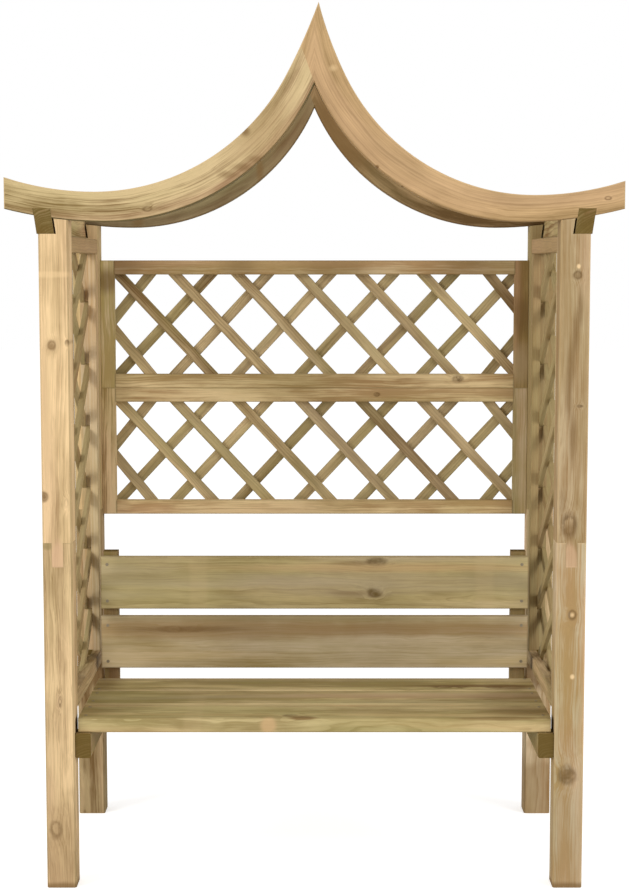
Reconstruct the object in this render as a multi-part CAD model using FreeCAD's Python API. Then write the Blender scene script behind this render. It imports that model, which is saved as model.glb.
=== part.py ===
import FreeCAD, Part
import math
import os

# An arbour seat in planed softwood. Four spliced posts carry two pagoda-shaped arches and two
# eaves purlins. Framed trellis closes the sides and the upper back, and a bench of three boards
# with a low backrest spans between the sides. Sizes are in millimetres.
# The origin is on the ground under the middle of the frame. +X is to the right as the seat is seen
# from the front, +Y goes to its back and +Z is up.

# Posts
frame_width = 1285.0  # over the outer faces of the posts
frame_depth = 710.0  # over the front and back faces of the posts
post_side = 70.0
post_bevel = 4.0

# Bridle joint between the two halves of a post
splice_height = 837.0  # shoulder of the joint above the ground
tongue_length = 58.0
tongue_width = 27.0
tongue_clearance = 0.3  # on each side of the tongue

# Roof arches: the outline of one pair of half beams, seen from the front
beam_thickness = 45.0
beam_bevel = 2.5
tip_overhang = 78.0  # of the tips, past the outer face of the posts
eaves_height = 1590.0  # lowest point of the underside above the ground
under_low_inset = 86.5  # of the lowest point of the underside from the inner face of the posts
under_tip_lift = 29.5  # how far the underside rises again at the tip
crotch_rise = 317.0  # from the lowest point of the underside to its highest
belly_depths = {"left": 69.0, "right": 61.5}  # depth of the beam at its lowest point
tip_depths = {"left": 73.0, "right": 64.5}  # plumb cut at the tip
top_low_inset = 61.0  # of the lowest point of the top edge from the inner face of the posts
peak_rise = 501.0
peak_offset = 9.5  # the point leans to the right of the middle
peak_slopes = {"left": 69.5, "right": 75.4}  # degrees, of the top edge at the point
crest_ratio = 0.3  # of the upper arc of the top edge to the lower one, along their tangents
joint_slope = 70.0  # degrees, the butt joint between the two half beams

# Eaves purlins, sections that lean outwards
purlin_width = 40.0
purlin_height = 59.0
purlin_lean = 8.5  # how far its top stands outside its bottom
purlin_overhang = 11.5  # of its top outer corner, past the outer face of the posts
purlin_top_rise = 31.0  # above the lowest point of the arches
purlin_gap = 5.0  # between the purlin and the upright face of the rebate in the post
housing_clearance = 0.5  # on each side of the purlin in its housing in a beam

# Framed trellis panels
panel_thickness = 45.0
long_member_width = 37.5
end_member_width = 38.0
lath_width = 27.0
lath_thickness = 12.0
lath_bevel = 1.5
panel_bevel = 1.5
lath_lip = 14.0  # how far the laths lie in the rebate of the frame
lath_end_clearance = 1.0
back_lath_slope = 47.0  # degrees from the panel's long side
outer_lath_slope = 51.0  # degrees, the first and last crossing of a back panel
side_lath_slope = 60.0  # degrees from the panel's long side
side_lath_pitch = 164.5  # along the long side of a side panel
side_lath_shift = 75.0  # of the middle crossing of a side panel, from the panel's middle
side_panel_inset = 3.5  # from the inner face of the posts
side_panel_over_seat = 8.0  # gap between the seat and the bottom rail
side_panel_under_purlin = 4.0
back_panel_over_backrest = 81.0  # gap between the battens of the backrest and the lower panel
back_panel_under_eaves = 87.0  # from the lowest point of the arches to the upper panel
# Where the laths of a back panel cross on its middle line, from the middle of the panel
back_crossings = (-550.0, -402.0, -250.0, -82.0, 87.0, 250.0, 416.0, 576.0)

# Bench
seat_height = 413.0
seat_board_thickness = 36.0
seat_board_width = 145.0
seat_board_gap = 10.0
seat_board_round = 5.0
seat_setback = 14.0  # of the front board behind the front of the posts
seat_end_clearance = 7.0  # between the boards and the inner face of the posts
bearer_width = 38.0
bearer_height = 60.0
bearer_setback = 6.0  # of its ends from the front and back of the posts
bearer_bevel = 3.0

# Backrest
backrest_setback = 500.0  # of the boards' front face behind the front of the posts
backrest_board_thickness = 20.0
backrest_board_height = 139.0
backrest_board_gap = 19.0
backrest_over_seat = 20.0
backrest_end_clearance = 11.0
backrest_board_round = 3.0
batten_width = 38.0
batten_depth = 35.0
batten_inset = 16.5  # of the batten's outer face from the inner face of the posts
batten_over_board = 11.0  # how far the batten stands above the top board

half_width = frame_width / 2
half_depth = frame_depth / 2
post_inner = half_width - post_side
post_middle = half_width - post_side / 2
post_back = half_depth - post_side
roof_width = frame_width + 2 * tip_overhang
under_low_reach = post_inner - under_low_inset
top_low_reach = post_inner - top_low_inset
purlin_top = eaves_height + purlin_top_rise
purlin_bottom = purlin_top - purlin_height
bearer_top = seat_height - seat_board_thickness
bearer_bottom = bearer_top - bearer_height
bearer_inner = post_inner - bearer_width
batten_outer = post_inner - batten_inset
batten_inner = batten_outer - batten_width
batten_front = backrest_setback + backrest_board_thickness - half_depth
side_panel_bottom = seat_height + side_panel_over_seat
side_panel_top = purlin_bottom - side_panel_under_purlin
side_panel_inner = post_inner + side_panel_inset
backrest_height = 2 * backrest_board_height + backrest_board_gap
batten_top = seat_height + backrest_over_seat + backrest_height + batten_over_board
back_panel_front = half_depth - panel_thickness
back_panel_bottom = batten_top + back_panel_over_backrest
back_panel_height = (eaves_height - back_panel_under_eaves - back_panel_bottom) / 2
sides = {"left": -1, "right": 1}
ends = {"front": -1, "rear": 1}

pieces = {}


def point(x, y, z):
    return FreeCAD.Vector(x, y, z)


def box(x_range, y_range, z_range):
    low = point(min(x_range), min(y_range), min(z_range))
    high = point(max(x_range), max(y_range), max(z_range))
    size = high - low
    return Part.makeBox(size.x, size.y, size.z, low)


def edges_along(solid, direction):
    found = []
    for edge in solid.Edges:
        if abs(edge.tangentAt(edge.FirstParameter).dot(direction)) > 0.999:
            found.append(edge)
    return found


def bevelled(bar, direction, bevel):
    """A straight bar with the long edges, along its direction, taken off."""
    return bar.makeChamfer(bevel, edges_along(bar, direction))


def mirrored(shape, side):
    """The shape as it is for the right side, and its mirror image for the left."""
    if side > 0:
        return shape
    return shape.mirror(point(0, 0, 0), point(1, 0, 0))


def swapped(shape, end):
    """The shape as it is for the front, and its mirror image for the rear."""
    if end < 0:
        return shape
    return shape.mirror(point(0, 0, 0), point(0, 1, 0))


def upright_face(edges):
    return Part.Face(Part.Wire(Part.__sortEdges__(edges)))


def rising_arc(low, end):
    """An arc that starts level at its low point and climbs to its end."""
    run = end.x - low.x
    rise = end.z - low.z
    radius = (run * run + rise * rise) / (2 * rise)
    half_turn = math.atan2(rise, abs(run))
    middle_run = math.copysign(radius * math.sin(half_turn), run)
    middle = point(low.x + middle_run, low.y, low.z + radius * (1 - math.cos(half_turn)))
    return Part.Arc(low, middle, end).toShape()


def onward_arc(before, end):
    """An arc that goes on smoothly from the end of the edge before it."""
    start = before.valueAt(before.LastParameter)
    chord = end - start
    chord_direction = chord * (1 / chord.Length)
    to_middle = (before.tangentAt(before.LastParameter) + chord_direction).normalize()
    middle = start + to_middle * (chord.Length / 2 / to_middle.dot(chord_direction))
    return Part.Arc(start, middle, end).toShape()


def shoulder(low, peak, peak_direction):
    """Where an arc from the level low point goes over smoothly into one that ends at the peak."""
    level = point(math.copysign(1, peak.x - low.x), 0, 0)
    span = peak - low
    along = span.dot(level + peak_direction * crest_ratio)
    turn = 2 * crest_ratio * (1 - level.dot(peak_direction))
    reach = (math.sqrt(along * along + turn * span.dot(span)) - along) / turn
    before = low + level * reach
    after = peak - peak_direction * (reach * crest_ratio)
    return before + (after - before) * (1 / (1 + crest_ratio))


def underside(y):
    """The underside of a pair of half beams, from the left tip to the right tip."""
    tip_height = eaves_height + under_tip_lift
    crotch = point(0, y, eaves_height + crotch_rise)
    edges = []
    for side in sides.values():
        low = point(side * under_low_reach, y, eaves_height)
        edges.append(rising_arc(low, point(side * roof_width / 2, y, tip_height)))
        edges.append(rising_arc(low, crotch))
    return edges


def top_edge(y):
    """The top edge of a pair of half beams, from the left tip to the right tip."""
    peak = point(peak_offset, y, eaves_height + peak_rise)
    edges = []
    for side_name, side in sides.items():
        tip_height = eaves_height + under_tip_lift + tip_depths[side_name]
        low = point(side * top_low_reach, y, eaves_height + belly_depths[side_name])
        slope = math.radians(peak_slopes[side_name])
        peak_direction = point(-side * math.cos(slope), 0, math.sin(slope))
        bend = rising_arc(low, shoulder(low, peak, peak_direction))
        tip = rising_arc(low, point(side * roof_width / 2, y, tip_height))
        edges.extend((tip, bend, onward_arc(bend, peak)))
    return edges


def arch_outline(y):
    under_tip = eaves_height + under_tip_lift
    tips = []
    for side_name, side in sides.items():
        x = side * roof_width / 2
        top_tip = under_tip + tip_depths[side_name]
        tips.append(Part.makeLine(point(x, y, under_tip), point(x, y, top_tip)))
    return upright_face(underside(y) + top_edge(y) + tips)


def roof_space():
    """Everything above the underside of the arches, over the whole depth of the frame."""
    y = -frame_depth
    under_tip = eaves_height + under_tip_lift
    ceiling = eaves_height + 2 * peak_rise
    left_low = point(-roof_width / 2, y, under_tip)
    left_high = point(-roof_width / 2, y, ceiling)
    right_high = point(roof_width / 2, y, ceiling)
    right_low = point(roof_width / 2, y, under_tip)
    frame = Part.makePolygon([left_low, left_high, right_high, right_low]).Edges
    return upright_face(underside(y) + frame).extrude(point(0, 2 * frame_depth, 0))


def joint_direction():
    angle = math.radians(joint_slope)
    return point(-math.cos(angle), 0, math.sin(angle))


def right_of_joint():
    """The space to the right of the butt joint in an arch, over the whole depth of the frame."""
    crotch = point(0, -frame_depth, eaves_height + crotch_rise)
    above = crotch + joint_direction() * peak_rise
    below = crotch - point(0, 0, peak_rise)
    across = point(roof_width, 0, 0)
    corners = [below, crotch, above, above + across, below + across]
    return Part.Face(Part.makePolygon(corners + corners[:1])).extrude(point(0, 2 * frame_depth, 0))


def purlin_section(grow, drop, y_range):
    """The leaning section of the right purlin, wider by grow at both sides and deeper by drop."""
    top_outer = half_width + purlin_overhang
    low, high = y_range
    lean = purlin_lean / purlin_height
    bottom = purlin_bottom - drop
    bottom_outer = top_outer - lean * (purlin_top - bottom)
    corners = [
        point(top_outer + grow, low, purlin_top),
        point(bottom_outer + grow, low, bottom),
        point(bottom_outer - purlin_width - grow, low, bottom),
        point(top_outer - purlin_width - grow, low, purlin_top),
    ]
    return Part.Face(Part.makePolygon(corners + corners[:1])).extrude(point(0, high - low, 0))


def purlin_rebate():
    """What the purlin takes out of the right posts, with the gap beside it."""
    top_inner = half_width + purlin_overhang - purlin_width - purlin_gap
    lean = purlin_lean / purlin_height
    slope_top = purlin_top + purlin_height
    outside = half_width + purlin_width
    low = point(top_inner - purlin_lean, -frame_depth, purlin_bottom)
    high = point(top_inner + lean * purlin_height, -frame_depth, slope_top)
    corners = [
        low,
        high,
        point(outside, -frame_depth, slope_top),
        point(outside, -frame_depth, purlin_bottom),
    ]
    return Part.Face(Part.makePolygon(corners + corners[:1])).extrude(point(0, 2 * frame_depth, 0))


def post_bar(z_range):
    """A length of the front right post with bevelled corners."""
    bar = box((post_inner, half_width), (-half_depth, -post_back), z_range)
    return bevelled(bar, point(0, 0, 1), post_bevel)


def make_posts():
    tongue_bottom = splice_height - tongue_length
    depth_range = (-half_depth, -post_back)
    slot_half = tongue_width / 2 + tongue_clearance
    slot_range = (post_middle - slot_half, post_middle + slot_half)
    tongue_range = (post_middle - tongue_width / 2, post_middle + tongue_width / 2)
    tongue = box(tongue_range, depth_range, (tongue_bottom, splice_height))
    lower = post_bar((0, splice_height)).cut(box(slot_range, depth_range, (tongue_bottom, splice_height)))
    upper = post_bar((splice_height, eaves_height + crotch_rise / 2)).fuse(tongue).removeSplitter()
    upper = upper.cut(roof_space()).cut(purlin_rebate())
    for side_name, side in sides.items():
        for end_name, end in ends.items():
            name = "post_" + end_name + "_" + side_name
            pieces[name + "_lower"] = swapped(mirrored(lower, side), end)
            pieces[name + "_upper"] = swapped(mirrored(upper, side), end)


def make_arches():
    arch = arch_outline(-half_depth).extrude(point(0, beam_thickness, 0))
    rim = []
    for edge in arch.Edges:
        if edge.BoundBox.YLength < 0.001:
            rim.append(edge)
    arch = arch.makeChamfer(beam_bevel, rim)
    all_depth = (-half_depth, half_depth)
    for side in sides.values():
        arch = arch.cut(mirrored(purlin_section(housing_clearance, 0, all_depth), side))
    halves = {"left": arch.cut(right_of_joint()), "right": arch.common(right_of_joint())}
    for side_name, half in halves.items():
        pieces["arch_front_" + side_name] = half
        pieces["arch_rear_" + side_name] = half.translated(point(0, frame_depth - beam_thickness, 0))


def make_purlins():
    purlin = purlin_section(0, 0, (-half_depth, half_depth))
    for side_name, side in sides.items():
        pieces["eaves_purlin_" + side_name] = mirrored(purlin, side)


def lath(crossing, slope, layer, clip):
    """A lath through a point of the panel's middle line, trimmed to the rebate of the frame."""
    reach = clip.BoundBox.DiagonalLength
    layer_front = panel_thickness - (2 - layer) * lath_thickness
    depth_range = (layer_front, layer_front + lath_thickness)
    strip = box((-reach, reach), depth_range, (-lath_width / 2, lath_width / 2))
    strip = bevelled(strip, point(1, 0, 0), lath_bevel)
    strip.rotate(point(0, 0, 0), point(0, 1, 0), slope)
    strip.translate(point(crossing, 0, 0))
    return strip.common(clip)


def trellis_panel(long_size, short_size, crossings, slopes):
    """A framed panel that lies with its long side along X, its front at Y = 0 and its middle at X = Z = 0."""
    half_long = long_size / 2
    half_short = short_size / 2
    open_long = half_long - end_member_width
    open_short = half_short - long_member_width
    depth_range = (0, panel_thickness)
    rebate_depth = (panel_thickness - 2 * lath_thickness, panel_thickness)
    rebate_long = open_long + lath_lip
    rebate_short = open_short + lath_lip
    rebate = box((-rebate_long, rebate_long), rebate_depth, (-rebate_short, rebate_short))
    frame = {
        "end_low": box((-half_long, -open_long), depth_range, (-half_short, half_short)),
        "end_high": box((open_long, half_long), depth_range, (-half_short, half_short)),
        "long_low": box((-open_long, open_long), depth_range, (-half_short, -open_short)),
        "long_high": box((-open_long, open_long), depth_range, (open_short, half_short)),
    }
    panel = {}
    for name, member in frame.items():
        direction = point(0, 0, 1) if name.startswith("end") else point(1, 0, 0)
        panel[name] = bevelled(member, direction, panel_bevel).cut(rebate)
    clip_long = rebate_long - lath_end_clearance
    clip_short = rebate_short - lath_end_clearance
    clip = box((-clip_long, clip_long), depth_range, (-clip_short, clip_short))
    for layer, name in enumerate(("laths_front", "laths_rear")):
        laths = []
        for crossing, slope in zip(crossings, slopes):
            strip = lath(crossing, slope if layer == 0 else -slope, layer, clip)
            laths.extend(strip.Solids)
        panel[name] = Part.makeCompound(laths)
    return panel


def make_back_trellis():
    slopes = [back_lath_slope] * len(back_crossings)
    slopes[0] = outer_lath_slope
    slopes[-1] = outer_lath_slope
    panel = trellis_panel(2 * post_inner, back_panel_height, back_crossings, slopes)
    names = {
        "end_low": "left_stile",
        "end_high": "right_stile",
        "long_low": "bottom_rail",
        "long_high": "top_rail",
        "laths_front": "laths_front",
        "laths_rear": "laths_rear",
    }
    for number, level in enumerate(("lower", "upper")):
        middle = back_panel_bottom + (number + 0.5) * back_panel_height
        for key, name in names.items():
            shape = panel[key].translated(point(0, back_panel_front, middle))
            pieces["back_trellis_" + level + "_" + name] = shape


def make_side_trellis():
    long_size = side_panel_top - side_panel_bottom
    short_size = 2 * post_back
    # The laths whose middle line crosses the opening
    open_rise = (short_size / 2 - long_member_width) / math.tan(math.radians(side_lath_slope))
    reach = long_size / 2 - end_member_width + open_rise
    first = math.ceil((-reach - side_lath_shift) / side_lath_pitch)
    last = math.floor((reach - side_lath_shift) / side_lath_pitch)
    crossings = [side_lath_shift + number * side_lath_pitch for number in range(first, last + 1)]
    panel = trellis_panel(long_size, short_size, crossings, [side_lath_slope] * len(crossings))
    middle = (side_panel_bottom + side_panel_top) / 2
    names = {
        "left": ("rear_stile", "front_stile"),
        "right": ("front_stile", "rear_stile"),
    }
    for side_name, stile_names in names.items():
        keys = {
            "end_low": "bottom_rail",
            "end_high": "top_rail",
            "long_low": stile_names[0],
            "long_high": stile_names[1],
            "laths_front": "laths_inner",
            "laths_rear": "laths_outer",
        }
        for key, name in keys.items():
            shape = panel[key].copy()
            # Stand the panel up: its long side goes along Z and its front faces the seat
            shape.rotate(point(0, 0, 0), point(1, 1, 1), -120)
            shape.translate(point(side_panel_inner, 0, middle))
            if side_name == "left":
                shape.rotate(point(0, 0, 0), point(0, 0, 1), 180)
            pieces["side_trellis_" + side_name + "_" + name] = shape


def seat_board_middles():
    first = seat_setback - half_depth + seat_board_width / 2
    return [first + number * (seat_board_width + seat_board_gap) for number in range(3)]


def backrest_board_middles():
    first = seat_height + backrest_over_seat + backrest_board_height / 2
    return [first + number * (backrest_board_height + backrest_board_gap) for number in range(2)]


def make_bench():
    along = point(1, 0, 0)
    half_length = post_inner - seat_end_clearance
    for name, middle in zip(("front", "middle", "rear"), seat_board_middles()):
        y_range = (middle - seat_board_width / 2, middle + seat_board_width / 2)
        board = box((-half_length, half_length), y_range, (bearer_top, seat_height))
        pieces["seat_board_" + name] = board.makeFillet(seat_board_round, edges_along(board, along))
    bearer_end = half_depth - bearer_setback
    bearer = box((bearer_inner, post_inner), (-bearer_end, bearer_end), (bearer_bottom, bearer_top))
    bearer = bearer.makeChamfer(bearer_bevel, edges_along(bearer, point(0, 1, 0)))
    for side_name, side in sides.items():
        pieces["seat_bearer_" + side_name] = mirrored(bearer, side)


def make_backrest():
    along = point(1, 0, 0)
    half_length = post_inner - backrest_end_clearance
    y_range = (batten_front - backrest_board_thickness, batten_front)
    for name, middle in zip(("lower", "upper"), backrest_board_middles()):
        z_range = (middle - backrest_board_height / 2, middle + backrest_board_height / 2)
        board = box((-half_length, half_length), y_range, z_range)
        pieces["backrest_board_" + name] = board.makeFillet(backrest_board_round, edges_along(board, along))
    batten_range = (batten_front, batten_front + batten_depth)
    batten = box((batten_inner, batten_outer), batten_range, (bearer_bottom, batten_top))
    # The foot is notched over the bearer
    notch = box((bearer_inner, batten_outer + batten_width), batten_range, (bearer_bottom, bearer_top))
    batten = batten.cut(notch)
    for side_name, side in sides.items():
        pieces["backrest_batten_" + side_name] = mirrored(batten, side)


def write_parts():
    os.makedirs("parts", exist_ok=True)
    for name, shape in pieces.items():
        shape.exportStep(os.path.join("parts", name + ".step"))


make_posts()
make_arches()
make_purlins()
make_back_trellis()
make_side_trellis()
make_bench()
make_backrest()
write_parts()
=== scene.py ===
import math

import bmesh
import bpy
from bpy.props import FloatProperty, FloatVectorProperty, PointerProperty
from mathutils import Euler, Matrix, Vector


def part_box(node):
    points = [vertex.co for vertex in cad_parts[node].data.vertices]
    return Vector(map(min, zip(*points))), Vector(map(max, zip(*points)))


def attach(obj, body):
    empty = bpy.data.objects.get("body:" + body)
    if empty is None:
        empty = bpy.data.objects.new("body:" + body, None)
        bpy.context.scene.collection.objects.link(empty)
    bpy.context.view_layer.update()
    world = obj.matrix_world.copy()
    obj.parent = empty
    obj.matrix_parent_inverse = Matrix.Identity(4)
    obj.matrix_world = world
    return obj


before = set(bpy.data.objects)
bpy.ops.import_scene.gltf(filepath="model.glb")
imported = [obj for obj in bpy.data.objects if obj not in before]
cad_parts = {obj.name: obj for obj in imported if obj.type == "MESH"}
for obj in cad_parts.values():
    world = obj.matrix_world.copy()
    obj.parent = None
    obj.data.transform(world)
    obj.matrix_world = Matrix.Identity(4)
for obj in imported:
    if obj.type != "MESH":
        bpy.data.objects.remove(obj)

bl_info = {
    "name": "Arbour Seat Finish",
    "version": (1, 0, 0),
    "blender": (4, 5, 0),
    "location": "3D View > Sidebar > Arbour Seat",
    "description": "Dresses a timber garden arbour with grain, knots, treatment tints and screws",
    "category": "Object",
}

SIDES = {"left": -1, "right": 1}
ORIGIN = (0.0, 0.0, 0.0)

# Turns that lay the axis along which a piece was cut onto X
ALONG_X = (0.0, 0.0, 0.0)
ALONG_Y = (0.0, 0.0, -math.pi / 2)
ALONG_Z = (0.0, math.pi / 2, 0.0)

# Laths: their slope, the distance from one to the next across their grain, and the shift of their
# pattern as a share of it. They are 160.9 mm apart along X at the back and 164.5 mm along Z at the
# sides.
BACK_SLOPE = math.radians(47.0)
BACK_PITCH = 0.1609 * math.sin(BACK_SLOPE)
BACK_SHIFT = 0.082
SIDE_SLOPE = math.radians(30.0)
SIDE_PITCH = 0.1645 * math.cos(SIDE_SLOPE)
SIDE_SHIFT = 0.044
LATH_STEP = 3.71  # from the place of one lath in the timber to that of the next
LATH_SWING = 0.5  # between the palest and the darkest lath

# Seeds of the pieces that share a look: one to each side of these, or counting on for the trellis.
# Each seed cuts its piece from another place, this far from that of the seed before.
PURLIN_SEED = 26
TRELLIS_SEED = 40
BEARER_SEED = 88
BATTEN_SEED = 91
SEED_STEP = (1.37, 2.71, 0.93)

# Face of the timber: how much its roughness changes from fibre to fibre, how clearly its relief
# shows and how strongly it mirrors
ROUGHNESS_SWING = 0.18
RELIEF_STRENGTH = 0.6
SHINE = 0.1

# Screws: the way they look, and their places on the right side. The left side mirrors it.
SCREWS = {
    "seat_screws": ((0.0, 0.0, 1.0), [
        (0.55, y, 0.413) for y in (-0.312, -0.225, -0.1585, -0.0685, -0.017, 0.1)]),
    "backrest_screws": ((0.0, -1.0, 0.0), [
        (0.5445, 0.145, z) for z in (0.451, 0.547, 0.612, 0.709)]),
    "trellis_screws": ((0.0, 1.0, 0.0), [
        (0.5535, 0.355, z) for z in (0.85, 1.13, 1.19, 1.475)]),
}
HEAD_SIDES = 20
SCREW_SPIN = 2.4  # turn of a recess against that of the screw before it
ZINC_DARK = (0.19, 0.155, 0.1, 1.0)
ZINC_PALE = (0.36, 0.3, 0.2, 1.0)
ZINC_CLOUDS = 900.0

# Stage: the camera's sensor and lens in millimetres, the right lamp, which the left one mirrors,
# and the floor
SENSOR_WIDTH = 36.0
LENS = 78.30
LENS_SHIFT = 0.0267
LAMP_PLACE = (4.3, -3.0, 2.3)
LAMP_TARGET = (0.0, 0.0, 1.1)
LAMP_SIZE = 2.5
WHITE = (1.0, 1.0, 1.0, 1.0)
FLOOR_GREY = (0.8, 0.8, 0.8, 1.0)
FLOOR_GLOW = 0.6


# Settings

def colour(name, description, red, green, blue):
    """A colour setting whose default is given as it looks on a screen, from 0 to 255."""
    shown = (red, green, blue)
    linear = [((part / 255 + 0.055) / 1.055) ** 2.4 for part in shown]
    return FloatVectorProperty(name=name, description=description, subtype="COLOR", size=3,
                               min=0, max=1, default=linear)


def length(name, description, default):
    """A setting in metres."""
    return FloatProperty(name=name, description=description, default=default, min=0, unit="LENGTH",
                         precision=4)


def number(name, description, default):
    """A setting of 0 or more, whose description names its unit."""
    return FloatProperty(name=name, description=description, default=default, min=0)


class TimberColours(bpy.types.PropertyGroup):
    """The tones of treated softwood, by the pieces that show them best"""
    honey: colour("Honey", "Fresh yellow face of the front left post", 232, 200, 152)
    sand: colour("Sand", "Pale face of the left half beams", 200, 176, 132)
    apricot: colour("Apricot", "Warm face of the right half beams", 200, 165, 120)
    stone: colour("Stone", "Greyish face of the front right post", 186, 163, 127)
    straw: colour("Straw", "Greenish yellow face of the boards", 182, 164, 119)
    moss: colour("Moss", "Shaded, heavily treated face", 140, 122, 80)
    fawn: colour("Fawn", "Brown streak in a pale face", 152, 122, 82)
    umber: colour("Umber", "Brown heartwood", 116, 88, 52)
    # Painted shade: the tone of the faces under the front left half beam
    underside_shade: colour("Loam", "Stain under the half beams", 110, 96, 62)
    silver: colour("Silver", "Greyish pink where the treatment has faded", 176, 160, 132)
    rose: colour("Rose", "Pinkish streak in a pale face", 206, 168, 134)
    olive: colour("Olive", "End grain that has drunk the treatment", 98, 78, 36)
    green: colour("Treatment", "Green tint that the treatment leaves", 142, 136, 80)
    knot: colour("Knot", "Heart of a knot", 84, 58, 30)


class GrainSizes(bpy.types.PropertyGroup):
    """Sizes of the grain"""
    ring_spacing: length("Ring spacing", "Distance between two growth rings", 0.0062)
    wander: length("Wander", "How far the grain drifts across a board", 0.045)
    relief: length("Relief", "Depth of the raised grain", 0.0006)
    arris_width: length("Arris width", "Width of the worn strip along an edge", 0.0035)
    roughness: FloatProperty(name="Roughness", description="Roughness of the planed face",
                             default=0.82, min=0, soft_max=1, subtype="FACTOR")


class ScrewSizes(bpy.types.PropertyGroup):
    """Sizes of the countersunk screws"""
    head_radius: length("Head radius", "Radius of the head", 0.0041)
    head_rise: length("Head rise", "How far the head stands out of the timber", 0.0007)
    recess_arm: length("Recess arm", "Reach of an arm of the cross recess", 0.0024)
    recess_half: length("Recess half width", "Half the width of an arm of the cross recess", 0.0006)
    recess_depth: length("Recess depth", "Depth of the cross recess", 0.0006)


class StageSizes(bpy.types.PropertyGroup):
    """Camera, floor and lamps"""
    camera_distance: length("Camera distance", "From the camera to the middle of the frame", 4.8877)
    camera_height: length("Camera height", "Height of the camera over the floor", 1.4845)
    camera_pitch: FloatProperty(name="Camera pitch", description="How far the camera looks down",
                                default=math.radians(5.948), unit="ROTATION")
    floor_size: length("Floor size", "Side of the floor", 60.0)
    left_power: number("Left power", "Power of the left softbox in watts", 162.0)
    right_power: number("Right power", "Power of the right softbox in watts", 130.0)
    sky_strength: number("Sky strength", "Strength of the even light", 0.575)


# Shader trees

SOCKETS = {"VALUE": "NodeSocketFloat", "VECTOR": "NodeSocketVector", "RGBA": "NodeSocketColor"}


class Tree:
    """Adds nodes to a node tree and joins them"""

    def __init__(self, tree):
        self.tree = tree

    def feed(self, socket, value):
        """Joins an output to an input, or gives the input a value of its own."""
        if isinstance(value, bpy.types.NodeSocket):
            self.tree.links.new(value, socket)
        else:
            socket.default_value = value

    def node(self, kind, inputs=(), **settings):
        """A new node, with its settings and with what feeds its inputs."""
        made = self.tree.nodes.new(kind)
        for name, value in settings.items():
            setattr(made, name, value)
        for key, value in dict(inputs).items():
            self.feed(made.inputs[key], value)
        return made

    def group(self, name, **inputs):
        """The outputs of a node group, which is made when it is first asked for."""
        group = bpy.data.node_groups.get(name) or GROUPS[name]()
        made = self.node("ShaderNodeGroup", node_tree=group)
        for name, value in inputs.items():
            self.feed(made.inputs[name.replace("_", " ").capitalize()], value)
        return made.outputs

    def give(self, **results):
        """Gives this node group an output for each result, and returns the group."""
        for name, value in results.items():
            self.tree.interface.new_socket(name, in_out="OUTPUT", socket_type=SOCKETS[value.type])
        self.node("NodeGroupOutput", results)
        return self.tree

    def math(self, operation, *values, clamp=False):
        """A number made from numbers."""
        made = self.node("ShaderNodeMath", enumerate(values), operation=operation, use_clamp=clamp)
        return made.outputs[0]

    def times(self, first, second):
        """Two numbers multiplied."""
        return self.math("MULTIPLY", first, second)

    def scaled(self, value, factor, plus, clamp=False):
        """A number times a factor, plus another number."""
        return self.math("MULTIPLY_ADD", value, factor, plus, clamp=clamp)

    def vector(self, operation, *values):
        """A vector made from vectors, or a number where the operation gives one."""
        made = self.node("ShaderNodeVectorMath", enumerate(values), operation=operation)
        return made.outputs["Value" if operation in ("LENGTH", "DOT_PRODUCT") else "Vector"]

    def parts(self, vector):
        """The three numbers of a vector."""
        return self.node("ShaderNodeSeparateXYZ", {0: vector}).outputs

    def joined(self, x, y, z):
        """A vector of three numbers."""
        return self.node("ShaderNodeCombineXYZ", {0: x, 1: y, 2: z}).outputs[0]

    def pick(self, amount, first, second):
        """The first number where the amount is 0, the second where it is 1."""
        return self.node("ShaderNodeMix", {0: amount, 2: first, 3: second}).outputs[0]

    def mix(self, amount, first, second, blend="MIX"):
        """The first colour where the amount is 0, blended with the second where it is 1."""
        made = self.node("ShaderNodeMix", {0: amount, 6: first, 7: second}, data_type="RGBA",
                         blend_type=blend, clamp_factor=True)
        return made.outputs[2]

    def ramp(self, value, low, high, to_low=0.0, to_high=1.0):
        """Goes smoothly from to_low to to_high while the value goes from low to high."""
        made = self.node("ShaderNodeMapRange", {0: value, 1: low, 2: high, 3: to_low, 4: to_high},
                         interpolation_type="SMOOTHSTEP")
        return made.outputs[0]

    def fall(self, value, low, high):
        """Goes smoothly from 1 to 0 while the value goes from low to high."""
        return self.ramp(value, low, high, 1.0, 0.0)

    def noise(self, vector, along, across, detail=2.0, output="Fac"):
        """Cloudy noise with so many grains to a metre along X and across it."""
        shaped = self.vector("MULTIPLY", vector, (along, across, across))
        made = self.node("ShaderNodeTexNoise", {"Vector": shaped, "Scale": 1.0, "Detail": detail})
        return made.outputs[output]

    def noise_over(self, value, scale, detail):
        """Noise that changes with one number only."""
        return self.node("ShaderNodeTexNoise", {"W": value, "Scale": scale, "Detail": detail},
                         noise_dimensions="1D").outputs["Fac"]

    def chance(self, value):
        """A value from 0 to 1 that is the same wherever the given number is."""
        return self.node("ShaderNodeTexWhiteNoise", {"W": value},
                         noise_dimensions="1D").outputs["Value"]

    def swing(self, noise, reach):
        """Turns noise from 0 to 1 into a swing to both sides of 0, with the given reach in all."""
        return self.scaled(noise, reach, -reach / 2)

    def spread(self, given):
        """How far Place is from Centre, where Stretch makes 1 of the reach along each axis."""
        offset = self.vector("SUBTRACT", given["Place"], given["Centre"])
        return self.vector("LENGTH", self.vector("MULTIPLY", offset, given["Stretch"]))


def cleared(block):
    """The tree helper of a material or world, whose nodes are turned on and emptied."""
    block.use_nodes = True
    block.node_tree.nodes.clear()
    return Tree(block.node_tree)


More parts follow.
